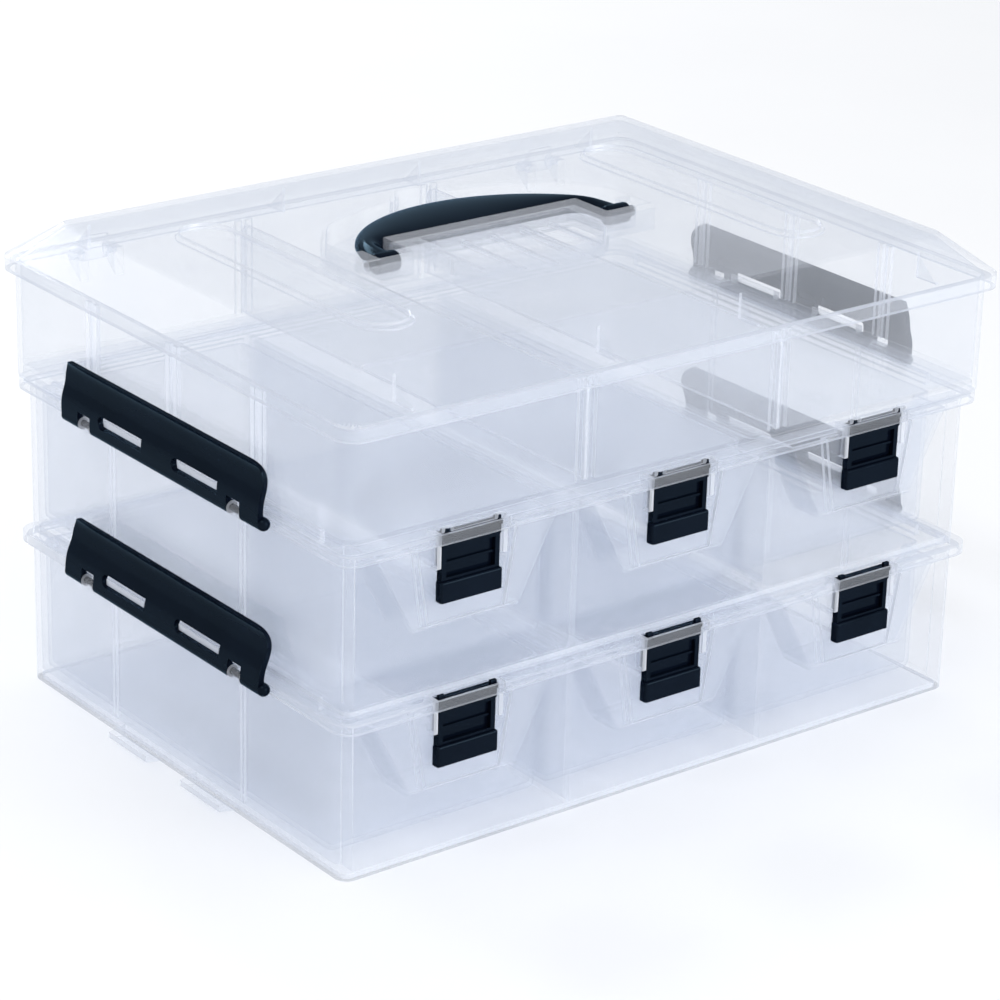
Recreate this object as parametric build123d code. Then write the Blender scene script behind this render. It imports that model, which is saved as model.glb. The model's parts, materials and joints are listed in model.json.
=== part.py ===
from build123d import *
import os

# Three-tier clear plastic sewing box: two tiers of drawers, a divided tray on
# top, a hinged lid with a folding handle, and latches that hold the stack.
# All lengths are millimetres.  Z is up, the drawers open towards -Y, and the
# origin is the middle of the footprint at floor level.

# overall stack
tier_pitch = 72.4
tray_base = 2 * tier_pitch
tray_top = 198.4
lid_bottom = 193.8
lid_hip = 200.0
lid_top = 216.4
centre_shift_y = -2.9

# drawer tiers
wall_x = 168.0
front_y = -121.5
back_y = 123.0
wall_t = 2.4
wall_radius = 6.0
foot_h = 2.0
floor_t = 2.4
post_w = 4.6
post_d = 7.5
partition_x = 53.4
partition_t = 3.2
flange_x = 172.3
flange_y = 127.0
flange_radius = 9.0
flange_drop = 4.8
flange_t = 1.8
ledge_in_y = -118.9
notch_half = 17.9
bay_x = 109.2
bay_centres = (-bay_x, 0.0, bay_x)

# drawers
side_drawer_w = 107.6
middle_drawer_w = 102.8
drawer_front_y = -104.5
drawer_back_y = 119.8
drawer_low = 4.8
drawer_high = 66.6
drawer_t = 1.8
drawer_radius = 4.0
boss_front_y = -122.6
boss_low = 30.0
boss_half_low = 27.0
boss_half_high = 45.9
pocket_back_y = -120.9
pocket_low = 32.0
pocket_half_low = 19.0
pocket_half_high = 25.0
guide_half = 17.6
guide_in = 15.5
guide_low = 57.0
block_high = 72.05

# drawer latches
latch_half = 15.1
latch_low = 41.8
latch_neck = 50.9
latch_head = 66.2
latch_shoulder = 69.6
latch_ledge = 58.0
latch_top = 71.6
prong_top = 73.5
prong_x = 13.2
prong_w = 3.0

# side latches and the tabs they catch
latch_axis_x = 175.4
latch_axis_z = -1.8
barrel_r = 2.8
pin_r = 1.5
pin_gap = 0.05
side_latch_half = 75.0
latch_corner_r = 9.0
latch_plate_h = 24.6
latch_slot_z = 4.3
latch_slot_r = 2.9
bottom_latch_lean = 6.5
lug_y = 57.0
lug_w = 8.8
tab_y = 28.5
tab_len = 30.0
tab_reach = 176.4
slot_len = 33.8

# tray and dividers
tray_x = 172.5
tray_y = 127.5
tray_t = 2.2
tray_foot = 4.2
divider_x = 52.0
divider_t = 1.6
divider_high = 194.0
groove_y = 62.5
pad_w = 9.0
pad_d = 1.8
groove_w = 2.2

# lid and handle
lid_x = 175.5
lid_y = 132.0
lid_flat_x = 156.0
lid_flat_y = 110.4
lid_t = 2.2
groove_x = 111.0
groove_half = 12.0
groove_end = 76.0
hinge_x = 125.0
hinge_y = 134.6
hinge_z = 190.2
hinge_r = 3.2
hinge_pin_r = 1.6
ear_in = 6.75
ear_t = 4.5
handle_y = 0.0
handle_z = 211.5
handle_pin_r = 2.4
recess_floor = 206.0
well_floor = 209.4


def block(x0, x1, y0, y1, z0, z1):
    size = Box(x1 - x0, y1 - y0, z1 - z0)
    return Pos((x0 + x1) / 2, (y0 + y1) / 2, (z0 + z1) / 2) * size


def rounded(x0, x1, y0, y1, z0, z1, radius):
    outline = Pos((x0 + x1) / 2, (y0 + y1) / 2, z0) * RectangleRounded(x1 - x0, y1 - y0, radius)
    return extrude(outline, amount=z1 - z0)


def rod_x(x0, x1, y, z, radius):
    return Pos((x0 + x1) / 2, y, z) * Rot(0, 90, 0) * Cylinder(radius, x1 - x0)


def rod_y(x, y0, y1, z, radius):
    return Pos(x, (y0 + y1) / 2, z) * Rot(90, 0, 0) * Cylinder(radius, y1 - y0)


def plate_xz(points, y0, y1):
    face = make_face(Polyline([(x, 0, z) for x, z in points], close=True))
    return Pos(0, y1, 0) * extrude(face, amount=y1 - y0, dir=(0, -1, 0))


def plate_yz(points, x0, x1):
    face = make_face(Polyline([(0, y, z) for y, z in points], close=True))
    return Pos(x0, 0, 0) * extrude(face, amount=x1 - x0, dir=(1, 0, 0))


def mirrored(shape):
    return mirror(shape, about=Plane.YZ)


def both_sides(shape):
    return shape + mirrored(shape)


def catch_tabs(root_x, base):
    profile = [
        (root_x - 0.4, base + 1.0),
        (tab_reach, base + 2.4),
        (tab_reach, base + 5.2),
        (root_x - 0.4, base + 7.0),
    ]
    tabs = Part()
    for y in (-tab_y, tab_y):
        tabs += plate_xz(profile, y - tab_len / 2, y + tab_len / 2)
    return both_sides(tabs)


def latch_lugs(base):
    axis_z = base + tier_pitch + latch_axis_z
    lugs = Part()
    for y in (-lug_y, lug_y):
        low, high = y - lug_w / 2, y + lug_w / 2
        lug = rod_y(latch_axis_x, low, high, axis_z, barrel_r + 0.1)
        lug += block(flange_x - 0.6, latch_axis_x, low, high, axis_z - 1.6, axis_z + 1.6)
        lugs += lug - rod_y(latch_axis_x, low - 1, high + 1, axis_z, pin_r + pin_gap)
    return both_sides(lugs)


def drawer_tier(base):
    top = base + tier_pitch
    inner_x = wall_x - wall_t
    inner_back = back_y - wall_t
    floor_low = base + foot_h
    floor_high = floor_low + floor_t
    shell = rounded(-wall_x, wall_x, front_y, back_y, base, top, wall_radius)
    shell -= rounded(-inner_x, inner_x, front_y + post_d, inner_back, floor_high, top + 1, 3.6)
    post_in = wall_x - post_w
    shell -= block(-post_in, post_in, front_y - 10, front_y + post_d + 5, floor_high, top + 1)
    shell -= rounded(-inner_x, inner_x, front_y + wall_t, inner_back, base - 1, floor_low, 3.6)
    for x in (-partition_x, partition_x):
        half = partition_t / 2
        shell += block(x - half, x + half, front_y, inner_back + 0.5, floor_high - 0.5, top - flange_t)

    plate = rounded(-flange_x, flange_x, -flange_y, flange_y, top - flange_t, top, flange_radius)
    plate -= block(-inner_x, inner_x, ledge_in_y, inner_back, top - flange_t - 1, top + 1)
    lip = rounded(-flange_x, flange_x, -flange_y, flange_y, top - flange_drop, top, flange_radius)
    lip_x = flange_x - flange_t
    lip_y = flange_y - flange_t
    lip -= rounded(-lip_x, lip_x, -lip_y, lip_y, top - flange_drop - 1, top + 1, flange_radius - flange_t)
    beam = block(-inner_x, inner_x, ledge_in_y - flange_t, ledge_in_y, top - flange_drop, top)
    shell += plate + lip + beam

    rib_low = top - 4.0
    side_rib = block(inner_x - 2.4, inner_x + 0.2, -100, 105, rib_low, top)
    side_rib += block(inner_x - 2.4, inner_x - 0.4, -100, 105, rib_low, top + 1.6)
    shell += both_sides(side_rib)
    shell += block(-150, 150, inner_back - 2.4, inner_back + 0.2, rib_low, top)
    shell += block(-150, 150, inner_back - 2.4, inner_back - 0.4, rib_low, top + 1.6)
    for x in bay_centres:
        shell -= block(x - notch_half, x + notch_half, -flange_y - 3, ledge_in_y + 3, top - 6, top + 2)

    wall_rib = Part()
    for y in (-50.0, 50.0):
        wall_rib += block(wall_x - 0.3, wall_x + 1.2, y - 1.5, y + 1.5, base + 8, top - flange_t)
    shell += both_sides(wall_rib)
    shell += catch_tabs(wall_x, base)
    shell += latch_lugs(base)
    return shell


def trapezoid(half_low, half_high, low, high, y0, y1):
    outline = [(-half_low, low), (half_low, low), (half_high, high), (-half_high, high)]
    return plate_xz(outline, y0, y1)


def boss_half(z):
    slope = (boss_half_high - boss_half_low) / (drawer_high - boss_low)
    return boss_half_low + slope * (z - boss_low)


def drawer(width):
    half = width / 2
    body = rounded(-half, half, drawer_front_y, drawer_back_y, drawer_low, drawer_high, drawer_radius)
    body = fillet(body.faces().sort_by(Axis.Z)[0].edges(), 3.0)
    boss = trapezoid(boss_half_low, boss_half_high, boss_low, drawer_high, boss_front_y, drawer_front_y + 2)
    boss_face = boss.faces().sort_by(Axis.Y)[0]
    boss = fillet(boss_face.edges().filter_by(lambda e: e.center().Z < drawer_high - 1), 2.0)
    body += boss

    t = drawer_t
    front, back = drawer_front_y + t, drawer_back_y - t
    inside = rounded(t - half, half - t, front, back, drawer_low + 2.0, drawer_high + 1, drawer_radius - t)
    inside = fillet(inside.faces().sort_by(Axis.Z)[0].edges(), 1.6)
    low, high = boss_low + t, drawer_high + 1
    half_low, half_high = boss_half(low) - 2.1, boss_half(high) - 2.1
    boss_inside = trapezoid(half_low, half_high, low, high, boss_front_y + t, front + 3)
    half_low, half_high = pocket_half_low, pocket_half_high
    pocket = trapezoid(half_low, half_high, pocket_low, drawer_high, boss_front_y - 2, pocket_back_y)
    low, high = pocket_low - t, drawer_high + 2
    pocket_wall = trapezoid(half_low + t, half_high + t, low, high, boss_front_y - 3, pocket_back_y + t)
    body -= inside + (boss_inside - pocket_wall)
    body -= pocket

    wall_back = pocket_back_y + t
    body += block(-guide_half, guide_half, pocket_back_y, wall_back, drawer_high - 8, block_high)
    for side in (-1, 1):
        x0, x1 = sorted((side * guide_in, side * guide_half))
        body += block(x0, x1, boss_front_y - 3.0, wall_back, guide_low, block_high)
        body += block(x0, x1, -flange_y, boss_front_y - 2.5, drawer_high + 0.8, block_high)
        x0, x1 = sorted((side * (guide_in - 0.7), side * guide_half))
        body += block(x0, x1, boss_front_y - 2.0, boss_front_y - 0.4, guide_low, guide_low + 8.5)
    body += block(-guide_half, guide_half, -flange_y, -flange_y + 1.3, drawer_high + 0.8, block_high)
    return body


def drawer_latch():
    back = pocket_back_y - 0.4
    rail_y = boss_front_y
    face_y = -124.6
    lip_y = -126.0
    body = block(-14.4, 14.4, face_y, back, latch_neck - 2, latch_head)
    body -= block(-12.2, 12.2, face_y - 1, face_y + 2.2, latch_neck + 1.2, latch_head - 1.8)
    body += block(-12.3, 12.3, face_y + 1.0, back, latch_ledge - 0.5, latch_ledge + 0.5)
    lip = rounded(-15.4, 15.4, lip_y, back, latch_low, latch_neck, 1.2)
    top_edge = lip.faces().sort_by(Axis.Z)[-1].edges().sort_by(Axis.Y)[0]
    lip = fillet(top_edge, 1.1)
    body += lip
    body += block(-latch_half, latch_half, rail_y, back, guide_low, latch_head)
    body += block(-14.4, 14.4, -125.3, -121.5, latch_head - 0.6, latch_shoulder)
    body += block(-latch_half, latch_half, -125.3, -121.5, latch_shoulder - 0.1, latch_top)
    for x in (-prong_x, prong_x):
        half = prong_w / 2
        prong = block(x - half, x + half, -124.7, -123.2, latch_top - 1, prong_top)
        body += fillet(prong.faces().sort_by(Axis.Z)[-1].edges(), 0.5)
    return body


def side_latch(base, lean):
    top = base + tier_pitch
    axis_z = top + latch_axis_z
    outer = [(178.1, -1.4), (178.2, 3.0), (177.7, 7.5), (176.3, 12.0), (175.6, 17.0)]
    outer += [(175.9, 21.0), (177.9, latch_plate_h - 0.7)]
    inner = [(176.6, latch_plate_h), (174.0, 21.4), (173.3, 17.0), (173.8, 12.0), (175.0, 7.5)]
    inner += [(175.5, 3.0), (175.0, -1.4)]
    outer_edge = Spline([(x, 0, top + z) for x, z in outer])
    inner_edge = Spline([(x, 0, top + z) for x, z in inner])
    caps = [Line(outer_edge @ 1, inner_edge @ 0), Line(inner_edge @ 1, outer_edge @ 0)]
    face = make_face([outer_edge, inner_edge] + caps)
    half = side_latch_half
    plate = Pos(0, half, 0) * extrude(face, amount=2 * half, dir=(0, -1, 0))
    r = latch_corner_r
    corner_z = top + latch_plate_h - r
    corner = block(168, 182, half - r, half + 1, corner_z, top + 34) - rod_x(167, 183, half - r, corner_z, r)
    plate -= corner + mirror(corner, about=Plane.XZ)
    plate += rod_y(latch_axis_x, -half, half, axis_z, barrel_r)
    plate += Pos(latch_axis_x, -half, axis_z) * Sphere(barrel_r)
    slot_z = top + latch_slot_z
    for y in (-tab_y, tab_y):
        slot_end = y + slot_len / 2 - latch_slot_r
        plate -= block(170, 182, y - slot_len / 2, slot_end, slot_z - latch_slot_r, slot_z + latch_slot_r)
        plate -= rod_x(170, 182, slot_end, slot_z, latch_slot_r)
    for y in (-lug_y, lug_y):
        gap = lug_w / 2 + 0.4
        plate -= block(170, 182, y - gap, y + gap, top - 8, top + 3.8)
        plate += rod_y(latch_axis_x, y - gap - 0.5, y + gap + 0.5, axis_z, pin_r)
    pivot = Axis((latch_axis_x, 0, axis_z), (0, 1, 0))
    return plate.rotate(pivot, -lean)


def guide_pad(x, y, along_x):
    half_w, half_g = pad_w / 2, groove_w / 2
    low, high = tray_base + tray_foot + 1.0, tray_top - 3.0
    if along_x:
        side = 1 if y > 0 else -1
        wall = side * (tray_y - tray_t + 0.2)
        inner = side * (tray_y - tray_t - pad_d)
        y0, y1 = min(wall, inner), max(wall, inner)
        pad = block(x - half_w, x + half_w, y0, y1, low, high)
        return pad - block(x - half_g, x + half_g, y0 - 1, y1 + 1, low - 1, high + 1)
    side = 1 if x > 0 else -1
    wall = side * (tray_x - tray_t + 0.2)
    inner = side * (tray_x - tray_t - pad_d)
    x0, x1 = min(wall, inner), max(wall, inner)
    pad = block(x0, x1, y - half_w, y + half_w, low, high)
    return pad - block(x0 - 1, x1 + 1, y - half_g, y + half_g, low - 1, high + 1)


def tray_tier():
    base = tray_base
    inner_x, inner_y = tray_x - tray_t, tray_y - tray_t
    floor_high = base + tray_foot + tray_t
    shell = rounded(-tray_x, tray_x, -tray_y, tray_y, base, tray_top, flange_radius)
    shell = fillet(shell.faces().sort_by(Axis.Z)[0].edges(), 2.0)
    inner_r = flange_radius - tray_t
    shell -= rounded(-inner_x, inner_x, -inner_y, inner_y, floor_high, tray_top + 1, inner_r)
    shell -= rounded(-inner_x, inner_x, -inner_y, inner_y, base - 1, base + tray_foot, inner_r)
    for x in (-divider_x, divider_x):
        for y in (-tray_y, tray_y):
            shell += guide_pad(x, y, True)
    for y in (-groove_y, 0.0, groove_y):
        for x in (-tray_x, tray_x):
            shell += guide_pad(x, y, False)
    for centre in bay_centres:
        for x in (centre - prong_x, centre + prong_x):
            half = prong_w / 2 + 0.6
            shell -= block(x - half, x + half, -tray_y - 1, -inner_y + 0.5, base - 1, base + 2.6)
    shell += catch_tabs(tray_x, base)
    ear_profile = [
        (tray_y - 0.4, 180.0),
        (tray_y - 0.4, hinge_z + 2.6),
        (hinge_y, hinge_z + 2.6),
        (hinge_y + 2.6, hinge_z - 1.4),
    ]
    for centre in (-hinge_x, hinge_x):
        for x0 in (centre - ear_in - ear_t, centre + ear_in):
            ear = plate_yz(ear_profile, x0, x0 + ear_t)
            ear += rod_x(x0, x0 + ear_t, hinge_y, hinge_z, hinge_r)
            shell += ear
            shell -= rod_x(x0 - 0.1, x0 + ear_t + 0.1, hinge_y, hinge_z, hinge_pin_r + pin_gap)
    return shell


def divider(x):
    half_y = tray_y - tray_t - 0.3
    low = tray_base + tray_foot + tray_t + 0.3
    plate = block(x - divider_t / 2, x + divider_t / 2, -half_y, half_y, low, divider_high)
    corners = plate.edges().filter_by(Axis.X).group_by(Axis.Z)[-1]
    return fillet(corners, 5.0)


def recess_outline():
    curve = [(77.5, 24.0), (62.0, 44.5), (34.0, 55.6), (0.0, 60.4)]
    curve += [(-34.0, 55.6), (-62.0, 44.5), (-77.5, 24.0)]
    front = [(-77.5, -6.5), (-52.5, -6.5), (-52.5, 16.0), (52.5, 16.0), (52.5, -6.5), (77.5, -6.5)]
    face = make_face(Polyline(curve + front, close=True))
    bends = face.vertices().filter_by(lambda v: v.Y > 20)
    return fillet(bends, 18.0)


def grip_notch():
    return Pos(0, 57.5) * Circle(13.5)


def well_outline(grow):
    arc = Pos(0, -16.0) * Ellipse(40.0 + grow, 22.0 + grow)
    return arc + Pos(0, -4.5) * Rectangle(80.0 + 2 * grow, 23.0 + 2 * grow)


def hip(x_low, y_low, z_low, r_low, x_high, y_high, z_high, r_high):
    low = Pos(0, 0, z_low) * RectangleRounded(2 * x_low, 2 * y_low, r_low)
    high = Pos(0, 0, z_high) * RectangleRounded(2 * x_high, 2 * y_high, r_high)
    return loft([low.face(), high.face()], ruled=True)


def obround(x, half, end, z0, z1):
    outline = Pos(x, 0, z0) * SlotOverall(2 * end, 2 * half, rotation=90)
    return extrude(outline, amount=z1 - z0)


def lid():
    body = rounded(-lid_x, lid_x, -lid_y, lid_y, lid_bottom, lid_hip, 10.0)
    body += hip(lid_x, lid_y, lid_hip, 10.0, lid_flat_x, lid_flat_y, lid_top, 4.0)
    rim_x, rim_y = lid_x - lid_t, lid_y - lid_t
    body -= rounded(-rim_x, rim_x, -rim_y, rim_y, lid_bottom - 1, tray_top + 0.3, 7.8)
    body -= hip(172.0, 126.9, tray_top + 0.2, 7.0, 155.2, 109.6, lid_top - lid_t, 3.0)

    fins = Part()
    for x in (38.0, 140.0):
        fin = plate_yz([(-125.6, 199.6), (-113.0, 199.6), (-113.0, 212.0), (-114.5, 212.0)], x - 0.8, x + 0.8)
        fins += fin + mirror(fin, about=Plane.XZ)
    body += both_sides(fins)

    recess, notch = recess_outline(), grip_notch()
    high = lid_top - 1.0
    bowl = extrude(Pos(0, 0, recess_floor - 2.0) * offset(recess, 2.0), amount=high - recess_floor + 2.0)
    bowl += extrude(Pos(0, 0, recess_floor - 2.0) * offset(notch, 2.0), amount=high - recess_floor + 2.0)
    bowl += extrude(Pos(0, 0, well_floor - 2.0) * well_outline(2.0), amount=high - well_floor + 2.0)
    for x in (-groove_x, groove_x):
        body += obround(x, groove_half + 1.6, groove_end + 1.6, lid_top - 3.2, high)
    body += bowl
    body -= extrude(Pos(0, 0, recess_floor) * recess, amount=20)
    body -= extrude(Pos(0, 0, recess_floor) * notch, amount=20)
    body -= extrude(Pos(0, 0, well_floor) * well_outline(0.0), amount=20)
    for x in (-groove_x, groove_x):
        body -= obround(x, groove_half, groove_end, lid_top - 1.4, lid_top + 1)

    for x in (-32.0, -16.0, 0.0, 16.0, 32.0):
        end = -16.0 - 22.0 * (1 - (x / 40.0) ** 2) ** 0.5
        body += block(x - 1.1, x + 1.1, end - 0.5, 7.2, well_floor - 0.3, well_floor + 1.3)

    pivot = block(69.2, 78.5, -7.5, 8.0, recess_floor - 1, lid_top - 0.8)
    pivot -= rod_x(68, 72.8, handle_y, handle_z, handle_pin_r + pin_gap)
    body += both_sides(pivot)

    arm = [
        (131.0, lid_bottom - 0.2),
        (131.0, 199.0),
        (133.4, 199.0),
        (hinge_y + hinge_r, hinge_z + 2.0),
        (hinge_y + hinge_r, hinge_z),
        (hinge_y - hinge_r, hinge_z),
    ]
    for x in (-hinge_x, hinge_x):
        half = ear_in - 0.35
        body += plate_yz(arm, x - half, x + half)
        body += rod_x(x - half, x + half, hinge_y, hinge_z, hinge_r)
        reach = ear_in + ear_t
        body += rod_x(x - reach, x + reach, hinge_y, hinge_z, hinge_pin_r)
    return body


def handle():
    low, high = 208.9, 215.6
    outer = Ellipse(67.6, 57.0) & (Pos(0, 30) * Rectangle(150, 60))
    outer += Pos(0, -2.0) * Rectangle(2 * 67.6, 4.4)
    inner = Pos(0, 5.0) * Rectangle(113.0, 25.0)
    inner = fillet(inner.vertices().group_by(Axis.Y)[-1], 7.0)
    outline = outer - inner
    grip = extrude(Pos(0, 0, low) * outline, amount=high - low)
    grip = fillet(grip.faces().sort_by(Axis.Z)[-1].edges().filter_by(lambda e: e.center().Y > 3), 3.0)
    hollow = (Ellipse(64.6, 54.0) & (Pos(0, 42) * Rectangle(150, 44))) - Pos(0, 5) * Rectangle(120.0, 30.0)
    grip -= extrude(Pos(0, 0, low - 1) * hollow, amount=4.6)
    for side in (-1, 1):
        x0, x1 = sorted((side * 57.0, side * 68.8))
        arm_end = rod_x(x0, x1, handle_y, handle_z, 4.6)
        grip += arm_end
        x0, x1 = sorted((side * 66.0, side * 72.4))
        grip += rod_x(x0, x1, handle_y, handle_z, handle_pin_r)
    return grip


os.makedirs("parts", exist_ok=True)

nodes = {
    "tier_bottom": drawer_tier(0.0),
    "tier_middle": drawer_tier(tier_pitch),
    "tray_top": tray_tier(),
    "divider_left": divider(-divider_x),
    "divider_right": divider(divider_x),
    "lid": lid(),
    "handle": handle(),
}

side_names = ("left", "middle", "right")
wide, narrow = drawer(side_drawer_w), drawer(middle_drawer_w)
catch = drawer_latch()
for level, base in (("bottom", 0.0), ("upper", tier_pitch)):
    for name, x in zip(side_names, bay_centres):
        place = Pos(x, 0, base)
        nodes[f"drawer_{level}_{name}"] = place * (narrow if name == "middle" else wide)
        nodes[f"drawer_latch_{level}_{name}"] = place * catch
    right = side_latch(base, bottom_latch_lean if level == "bottom" else 0.0)
    nodes[f"side_latch_{level}_right"] = right
    nodes[f"side_latch_{level}_left"] = mirrored(right)

for name, shape in nodes.items():
    placed = Pos(0, centre_shift_y, 0) * shape
    export_step(placed, f"parts/{name}.step")
    print(name, len(placed.solids()), round(placed.volume / 1000, 1), placed.bounding_box())
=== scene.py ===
import json
import math

import bmesh
import bpy
from mathutils import Matrix, Vector


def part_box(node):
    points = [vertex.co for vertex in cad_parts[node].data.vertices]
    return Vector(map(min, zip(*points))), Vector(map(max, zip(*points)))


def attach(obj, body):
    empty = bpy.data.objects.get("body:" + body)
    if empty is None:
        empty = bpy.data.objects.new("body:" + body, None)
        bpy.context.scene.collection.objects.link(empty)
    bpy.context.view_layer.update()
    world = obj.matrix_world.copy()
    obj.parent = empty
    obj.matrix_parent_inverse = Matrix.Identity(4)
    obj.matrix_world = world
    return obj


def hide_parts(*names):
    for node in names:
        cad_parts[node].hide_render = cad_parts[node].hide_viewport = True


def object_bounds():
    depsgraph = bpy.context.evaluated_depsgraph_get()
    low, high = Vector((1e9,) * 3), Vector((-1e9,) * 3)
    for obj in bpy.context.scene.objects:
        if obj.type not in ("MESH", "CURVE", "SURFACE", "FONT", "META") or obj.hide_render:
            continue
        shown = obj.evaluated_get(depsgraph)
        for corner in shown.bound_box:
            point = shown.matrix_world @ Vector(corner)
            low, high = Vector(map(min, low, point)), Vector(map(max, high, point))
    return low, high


# Looks for a clear plastic sewing box with black latches and a black handle.
# Lengths are metres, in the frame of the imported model: X to the right, Y to
# the back, Z up.

# softened edges
clear_rounding = 0.00045
black_rounding = 0.00035
rounding_from = math.radians(35.0)
sharp_from = math.radians(30.0)
narrow_strip = 0.0027
coplanar_within = math.radians(0.6)
weld_within = 0.000005

# tints of the clear plastic
window_tint = (0.984, 0.987, 0.992, 1.0)
lamp_tint = (0.970, 0.974, 0.984, 1.0)
shine_tint = (0.97, 0.98, 1.0, 1.0)
translucent_share = 0.4

# carry handle, measured from its pivot line
bow_depth = 0.057
bow_inner_x = 0.0565
bow_inner_y = 0.0175
bow_bend = 0.007
bow_below_pivot = 0.0026
bow_above_pivot = 0.0041
bow_side_wall = 0.0012
bow_rim = 0.003
bow_hollow = 0.0036
hollow_from_width = 0.014
hollow_grows_over = 0.008
pivot_radius = 0.0046
pivot_start = 0.0005
pivot_rim = 0.0008
pivot_rim_start = 0.0002
pin_radius = 0.0024
pin_length = 0.0036
pin_chamfer = 0.0004
shoulder = 0.0012
stations = 97
ellipse_steps = 400
bend_steps = 8
crown_steps = 22

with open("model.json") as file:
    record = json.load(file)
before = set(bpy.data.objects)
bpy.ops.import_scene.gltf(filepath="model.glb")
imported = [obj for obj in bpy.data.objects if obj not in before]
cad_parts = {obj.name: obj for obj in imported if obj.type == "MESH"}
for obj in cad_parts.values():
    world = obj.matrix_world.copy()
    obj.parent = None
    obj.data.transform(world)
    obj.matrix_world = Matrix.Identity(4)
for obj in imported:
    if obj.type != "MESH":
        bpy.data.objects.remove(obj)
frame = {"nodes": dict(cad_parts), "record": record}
cad_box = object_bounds()
scene = bpy.context.scene


# ---------- node helpers ----------


def new_material(name):
    material = bpy.data.materials.new(name)
    material.use_nodes = True
    material.node_tree.nodes.clear()
    return material, material.node_tree


def add_node(tree, kind, **settings):
    node = tree.nodes.new(kind)
    for key, value in settings.items():
        if key in node.inputs:
            node.inputs[key].default_value = value
        else:
            setattr(node, key, value)
    return node


def noise(tree, coords, scale, detail=2.0, roughness=0.5, stretch=None):
    if stretch:
        mapping = add_node(tree, "ShaderNodeMapping")
        mapping.inputs["Scale"].default_value = stretch
        tree.links.new(coords, mapping.inputs["Vector"])
        coords = mapping.outputs["Vector"]
    node = add_node(tree, "ShaderNodeTexNoise", Scale=scale, Detail=detail, Roughness=roughness)
    tree.links.new(coords, node.inputs["Vector"])
    return node.outputs["Fac"]


def span(tree, value, low, high, from_low=0.3, from_high=0.7):
    node = add_node(tree, "ShaderNodeMapRange")
    tree.links.new(value, node.inputs["Value"])
    node.inputs["From Min"].default_value = from_low
    node.inputs["From Max"].default_value = from_high
    node.inputs["To Min"].default_value = low
    node.inputs["To Max"].default_value = high
    return node.outputs["Result"]


def maths(tree, operation, a, b):
    node = add_node(tree, "ShaderNodeMath", operation=operation)
    for socket, value in zip(node.inputs, (a, b)):
        if isinstance(value, (int, float)):
            socket.default_value = value
        else:
            tree.links.new(value, socket)
    return node.outputs[0]


def ramp(tree, value, low, high):
    node = add_node(tree, "ShaderNodeValToRGB")
    node.color_ramp.elements[0].color = (*low, 1.0)
    node.color_ramp.elements[1].color = (*high, 1.0)
    tree.links.new(value, node.inputs["Fac"])
    return node.outputs["Color"]


def blend_shaders(tree, factor, first, second):
    """A shader that shows the first one, and the second by the given factor."""
    node = add_node(tree, "ShaderNodeMixShader")
    if isinstance(factor, float):
        node.inputs[0].default_value = factor
    else:
        tree.links.new(factor, node.inputs[0])
    tree.links.new(first.outputs[0], node.inputs[1])
    tree.links.new(second.outputs[0], node.inputs[2])
    return node


def finish_material(tree, shader):
    out = add_node(tree, "ShaderNodeOutputMaterial")
    tree.links.new(shader.outputs[0], out.inputs["Surface"])


# ---------- materials ----------


def clear_plastic(name, haze, steep_haze, pale, slant_shade, gloss):
    """Moulded clear plastic: mostly see-through, a little milky, and shiny.

    haze is how milky it is face on and steep_haze what a slanting view adds.
    pale is the colour of the milky part face on. At slanting views it turns to the
    second, darker colour: painted shade that greys walls and edges seen at a slant.
    Lamps shine through it, so that the inside of the box is bright.
    """
    material, tree = new_material(name)
    coords = add_node(tree, "ShaderNodeTexCoord").outputs["Object"]
    cloud = noise(tree, coords, 26.0, detail=1.0)
    facing = add_node(tree, "ShaderNodeLayerWeight", Blend=0.5).outputs["Facing"]
    steep = maths(tree, "POWER", facing, 3.0)

    # painted shade: the milky part darkens towards the second colour as the view slants, plus a
    # little random tone from the cloud
    tone_and_slant_shade = maths(tree, "ADD", steep, span(tree, cloud, 0.0, 0.12))
    colour = ramp(tree, tone_and_slant_shade, pale, slant_shade)
    body = add_node(tree, "ShaderNodeBsdfPrincipled")
    tree.links.new(colour, body.inputs["Base Color"])
    tree.links.new(span(tree, cloud, 0.24, 0.40), body.inputs["Roughness"])
    glow = add_node(tree, "ShaderNodeBsdfTranslucent")
    tree.links.new(colour, glow.inputs["Color"])
    milk = blend_shaders(tree, translucent_share, body, glow)

    window = add_node(tree, "ShaderNodeBsdfTransparent", Color=window_tint)
    mist = span(tree, cloud, haze * 0.85, haze * 1.15)
    milkiness = maths(tree, "ADD", mist, maths(tree, "MULTIPLY", steep, steep_haze))
    inner = blend_shaders(tree, milkiness, window, milk)

    shine = add_node(tree, "ShaderNodeBsdfAnisotropic", Color=shine_tint)
    tree.links.new(span(tree, cloud, 0.06, 0.12), shine.inputs["Roughness"])
    mirror = maths(tree, "MULTIPLY", maths(tree, "POWER", facing, 5.0), 0.6)
    outer = blend_shaders(tree, maths(tree, "ADD", mirror, gloss), inner, shine)

    for_lamps = add_node(tree, "ShaderNodeBsdfTransparent", Color=lamp_tint)
    lamp_ray = add_node(tree, "ShaderNodeLightPath").outputs["Is Shadow Ray"]
    finish_material(tree, blend_shaders(tree, lamp_ray, outer, for_lamps))
    return material


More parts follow.
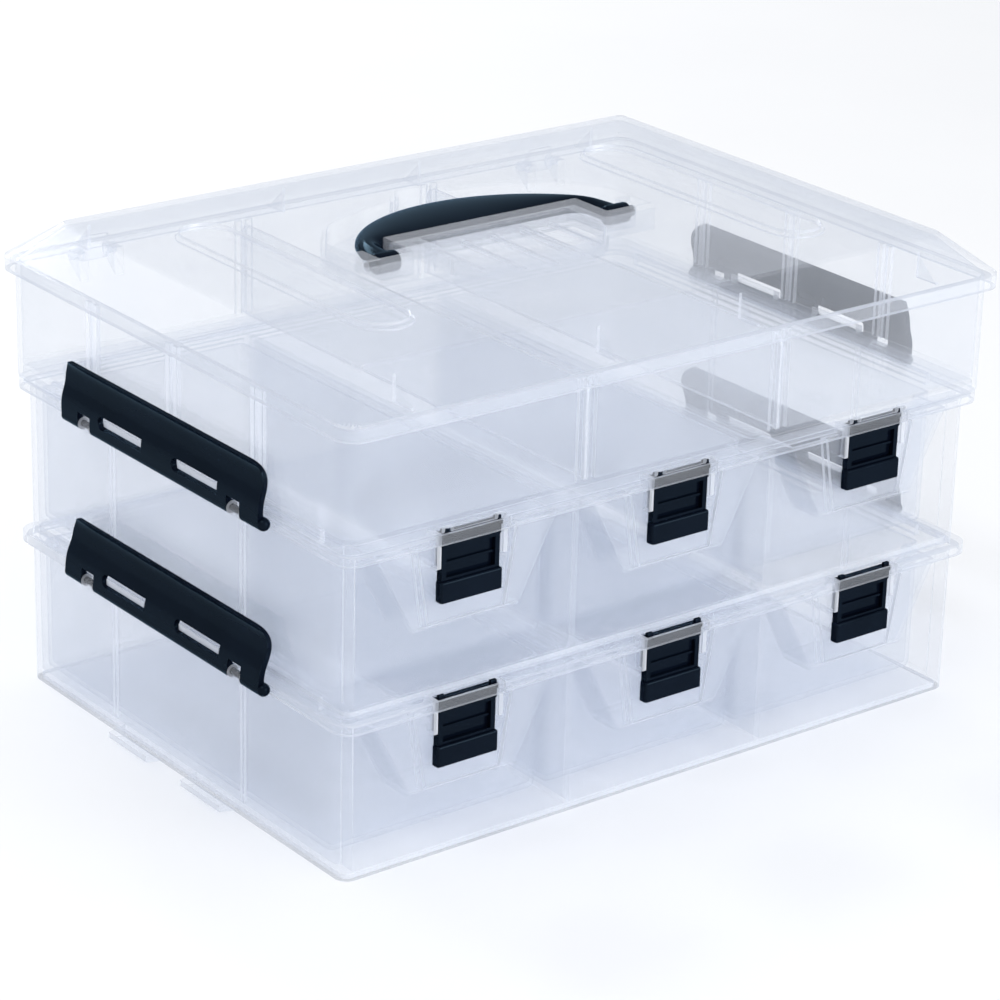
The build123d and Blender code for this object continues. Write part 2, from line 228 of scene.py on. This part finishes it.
def black_plastic():
    """Glossy black moulding with a blue cast, fine grain and faint scuffs."""
    material, tree = new_material("black_plastic")
    coords = add_node(tree, "ShaderNodeTexCoord").outputs["Object"]
    grain = noise(tree, coords, 1400.0)
    wave = noise(tree, coords, 60.0, detail=1.0)
    scuff = noise(tree, coords, 240.0, detail=4.0, roughness=0.7, stretch=(1.0, 1.0, 6.0))

    body = add_node(tree, "ShaderNodeBsdfPrincipled", Roughness=0.4)
    colour = ramp(tree, wave, (0.0012, 0.002, 0.005), (0.0025, 0.0042, 0.010))
    tree.links.new(colour, body.inputs["Base Color"])
    body.inputs["Specular IOR Level"].default_value = 0.0

    height = maths(tree, "ADD", maths(tree, "MULTIPLY", grain, 0.25), wave)
    bump = add_node(tree, "ShaderNodeBump", Strength=0.06, Distance=0.0003)
    tree.links.new(height, bump.inputs["Height"])
    gloss = add_node(tree, "ShaderNodeBsdfAnisotropic", Color=(0.48, 0.76, 1.0, 1.0))
    worn = span(tree, scuff, 0.0, 0.10, 0.5, 0.8)
    rough = maths(tree, "ADD", worn, span(tree, wave, 0.12, 0.17))
    tree.links.new(rough, gloss.inputs["Roughness"])
    tree.links.new(bump.outputs["Normal"], gloss.inputs["Normal"])

    facing = add_node(tree, "ShaderNodeLayerWeight", Blend=0.5).outputs["Facing"]
    sheen = maths(tree, "MULTIPLY", maths(tree, "POWER", facing, 5.0), 0.3)
    finish_material(tree, blend_shaders(tree, maths(tree, "ADD", sheen, 0.01), body, gloss))
    return material


def floor_material():
    material, tree = new_material("studio_floor")
    coords = add_node(tree, "ShaderNodeTexCoord").outputs["Object"]
    mottle = noise(tree, coords, 6.0, detail=3.0)
    body = add_node(tree, "ShaderNodeBsdfPrincipled", Roughness=0.6)
    colour = ramp(tree, mottle, (0.765, 0.77, 0.78), (0.795, 0.797, 0.805))
    tree.links.new(colour, body.inputs["Base Color"])
    finish_material(tree, body)
    return material


# The second, darker colour is painted shade that greys walls seen at a slant.
clear = clear_plastic(
    "clear_plastic",
    haze=0.10,
    steep_haze=0.25,
    pale=(0.74, 0.765, 0.81),
    slant_shade=(0.46, 0.52, 0.64),
    gloss=0.012,
)
# Edges and narrow strips: paler and milkier face on, a painted highlight that draws bright lines,
# and dark grey-blue at a slant, painted shade that draws dark lines; the stronger gloss is a real
# reflection.
clear_edge = clear_plastic(
    "clear_plastic_edge",
    haze=0.40,
    steep_haze=0.40,
    pale=(0.80, 0.82, 0.86),
    slant_shade=(0.22, 0.27, 0.37),
    gloss=0.08,
)
black = black_plastic()


# ---------- moulded pieces ----------


def new_object(name, work):
    """A smooth-shaded object from a bmesh, which is freed."""
    mesh = bpy.data.meshes.new(name)
    for face in work.faces:
        face.smooth = True
    work.to_mesh(mesh)
    work.free()
    piece = bpy.data.objects.new(name, mesh)
    scene.collection.objects.link(piece)
    return piece


def is_narrow(face):
    """True for a wall's end face, a rib or a step: a strip between two sharp edges."""
    sharp = [e for e in face.edges if e.is_manifold and e.calc_face_angle() > sharp_from]
    length = sum(e.calc_length() for e in sharp)
    return length > 0 and 2 * face.calc_area() / length < narrow_strip


def rounded_piece(node, width, main, edge):
    """A piece with the node's shape and softened edges.

    Narrow strips and the softened edges take the edge material.
    """
    work = bmesh.new()
    work.from_mesh(frame["nodes"][node].data)
    bmesh.ops.remove_doubles(work, verts=work.verts, dist=weld_within)
    bmesh.ops.dissolve_limit(
        work,
        angle_limit=coplanar_within,
        use_dissolve_boundaries=False,
        verts=work.verts,
        edges=work.edges,
    )
    for joined in work.edges:
        joined.smooth = True
    for face in work.faces:
        face.material_index = 1 if is_narrow(face) else 0
    piece = new_object(node + "_moulding", work)
    piece.data.materials.append(main)
    piece.data.materials.append(edge)
    bevel = piece.modifiers.new("soft_edges", "BEVEL")
    bevel.width = width
    bevel.segments = 2
    bevel.limit_method = "ANGLE"
    bevel.angle_limit = rounding_from
    bevel.use_clamp_overlap = True
    bevel.material = 1
    normals = piece.modifiers.new("flat_faces", "WEIGHTED_NORMAL")
    normals.weight = 100
    normals.keep_sharp = False
    return piece


# ---------- carry handle ----------


def evenly_spaced(points, count):
    """The same open line with its points spread at equal lengths along it."""
    lengths = [0.0]
    for start, end in zip(points, points[1:]):
        lengths.append(lengths[-1] + (end - start).length)
    spread = []
    k = 0
    for step in range(count):
        wanted = lengths[-1] * step / (count - 1)
        while k < len(points) - 2 and lengths[k + 1] < wanted:
            k += 1
        part = (wanted - lengths[k]) / (lengths[k + 1] - lengths[k])
        spread.append(points[k].lerp(points[k + 1], part))
    return spread


def bow_outline(reach):
    """The far side of the bow: half an ellipse from one pivot to the other."""
    steps = [math.pi * k / ellipse_steps for k in range(ellipse_steps + 1)]
    curve = [Vector((-reach * math.cos(a), bow_depth * math.sin(a))) for a in steps]
    return evenly_spaced(curve, stations)


def finger_outline():
    """The near side of the bow: two short arms and a straight run, joined by bends."""
    left = [Vector((-bow_inner_x, 0.0))]
    for k in range(bend_steps + 1):
        a = math.pi / 2 * k / bend_steps
        along = bow_bend * (1 - math.cos(a)) - bow_inner_x
        across = bow_bend * (math.sin(a) - 1) + bow_inner_y
        left.append(Vector((along, across)))
    right = [Vector((-p.x, p.y)) for p in reversed(left)]
    return evenly_spaced(left + right, stations)


def bow_section(far, near, pivot):
    """One closed ring across the bow.

    The top is crowned, and where the bow is wide the underside is hollow.
    """
    across = near - far
    width = across.length
    low = pivot.z - bow_below_pivot
    high = pivot.z + bow_above_pivot
    crown = high - low - bow_side_wall
    turns = [math.pi * k / crown_steps for k in range(crown_steps + 1)]
    ring = [(0.5 - 0.5 * math.cos(a), low + bow_side_wall + crown * math.sin(a)) for a in turns]
    rim = bow_rim / width
    hollow = bow_hollow * min(max((width - hollow_from_width) / hollow_grows_over, 0.0), 1.0)
    ring += [(1.0 - 0.3 * rim, low), (1.0 - rim, low), (1.0 - rim, low + hollow)]
    ring += [(rim, low + hollow), (rim, low), (0.3 * rim, low)]
    places = [(far + across * part, z) for part, z in ring]
    return [(place.x, pivot.y + place.y, z) for place, z in places]


def join_rings(work, rings):
    """Walls between closed rings of the same count, and a cap at each end."""
    loops = [[work.verts.new(place) for place in ring] for ring in rings]
    for ring, following in zip(loops, loops[1:]):
        for k in range(len(ring)):
            after = (k + 1) % len(ring)
            work.faces.new((ring[k], ring[after], following[after], following[k]))
    work.faces.new(loops[0])
    work.faces.new(loops[-1])


def pivot_rings(side, reach, pivot, segments=40):
    """A round end of the handle and its pin: a profile turned about the pivot line."""
    start = bow_inner_x + pivot_start
    tip = reach + shoulder
    profile = [
        (start, pivot_radius - 0.0010),
        (start + 0.0006, pivot_radius - pivot_rim_start),
        (start + 0.0016, pivot_radius),
        (reach, pivot_radius),
        (reach + pivot_rim, pivot_radius - pivot_rim_start),
        (tip, pivot_radius - pivot_rim),
        (tip, pin_radius),
        (tip + pin_length - pin_chamfer, pin_radius),
        (tip + pin_length, pin_radius - pin_chamfer),
    ]
    turns = [2 * math.pi * k / segments for k in range(segments)]
    return [
        [(side * x, pivot.y + radius * math.cos(a), pivot.z + radius * math.sin(a)) for a in turns]
        for x, radius in profile
    ]


def crowned_handle():
    """The carry handle with a full, rounded bow, placed by the node's box."""
    low_corner, high_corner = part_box("handle")
    reach = high_corner[0] - pin_length - shoulder
    pivot = Vector((0.0, high_corner[1] - bow_depth, low_corner[2] + pivot_radius))
    work = bmesh.new()
    outlines = zip(bow_outline(reach), finger_outline())
    join_rings(work, [bow_section(far, near, pivot) for far, near in outlines])
    for side in (-1, 1):
        join_rings(work, pivot_rings(side, reach, pivot))
    bmesh.ops.recalc_face_normals(work, faces=work.faces)
    piece = new_object("handle_grip", work)
    piece.data.materials.append(black)
    edges = piece.modifiers.new("crisp_edges", "EDGE_SPLIT")
    edges.split_angle = math.radians(50.0)
    return piece


# ---------- every piece stands for its node ----------

bodies = frame["record"]["behaviour"]["bodies"]
body_of_node = {node: body for body, members in bodies.items() for node in members}


def stand_for(piece, node):
    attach(piece, body_of_node[node])
    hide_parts(node)


stand_for(crowned_handle(), "handle")
for node in sorted(set(frame["nodes"]) - {"handle"}):
    if "latch" in node:
        stand_for(rounded_piece(node, black_rounding, black, black), node)
    else:
        stand_for(rounded_piece(node, clear_rounding, clear, clear_edge), node)


# ---------- floor, light and camera ----------

work = bmesh.new()
bmesh.ops.create_grid(work, x_segments=1, y_segments=1, size=6.0)
floor = new_object("studio_floor", work)
floor.data.materials.append(floor_material())

world = bpy.data.worlds.new("studio")
scene.world = world
world.use_nodes = True
background = world.node_tree.nodes["Background"]
background.inputs["Color"].default_value = (0.96, 0.975, 1.0, 1.0)
background.inputs["Strength"].default_value = 0.84


def softbox(name, place, width, height, power):
    """A rectangular lamp that faces the middle of the box."""
    lamp = bpy.data.lights.new(name, "AREA")
    lamp.shape = "RECTANGLE"
    lamp.size = width
    lamp.size_y = height
    lamp.energy = power
    holder = bpy.data.objects.new(name, lamp)
    holder.location = place
    aim = (Vector(cad_box[0]) + Vector(cad_box[1])) / 2 - Vector(place)
    holder.rotation_euler = aim.to_track_quat("-Z", "Y").to_euler()
    scene.collection.objects.link(holder)


softbox("key_light", (-0.9, -0.1, 1.6), width=0.9, height=0.35, power=6.0)
softbox("fill_light", (0.5, -1.6, 0.6), width=1.4, height=0.8, power=20.0)
softbox("back_light", (0.0, 3.0, 1.6), width=2.0, height=0.75, power=48.0)


def place_camera(location, azimuth, elevation, roll, lens):
    """A camera at a place, with its heading, height and roll in degrees."""
    azimuth, elevation, roll = (math.radians(v) for v in (azimuth, elevation, roll))
    level = math.cos(elevation)
    back = Vector((math.sin(azimuth) * level, -math.cos(azimuth) * level, math.sin(elevation)))
    right = Vector((0.0, 0.0, 1.0)).cross(back).normalized()
    up = back.cross(right)
    turned_right = right * math.cos(roll) + up * math.sin(roll)
    turned_up = up * math.cos(roll) - right * math.sin(roll)
    camera = bpy.data.objects.new("camera", bpy.data.cameras.new("camera"))
    turn = Matrix((turned_right, turned_up, back)).transposed().to_4x4()
    camera.matrix_world = Matrix.Translation(location) @ turn
    camera.data.lens = lens
    camera.data.sensor_width = 36.0
    camera.data.clip_start = 0.01
    scene.collection.objects.link(camera)
    scene.camera = camera


place_camera((-0.9101, -1.1689, 0.6844), azimuth=-38.04, elevation=21.93, roll=1.55, lens=128.7)
scene.view_settings.view_transform = "Standard"
scene.cycles.transparent_max_bounces = 64
scene.cycles.max_bounces = 4
scene.cycles.light_sampling_threshold = 0.08
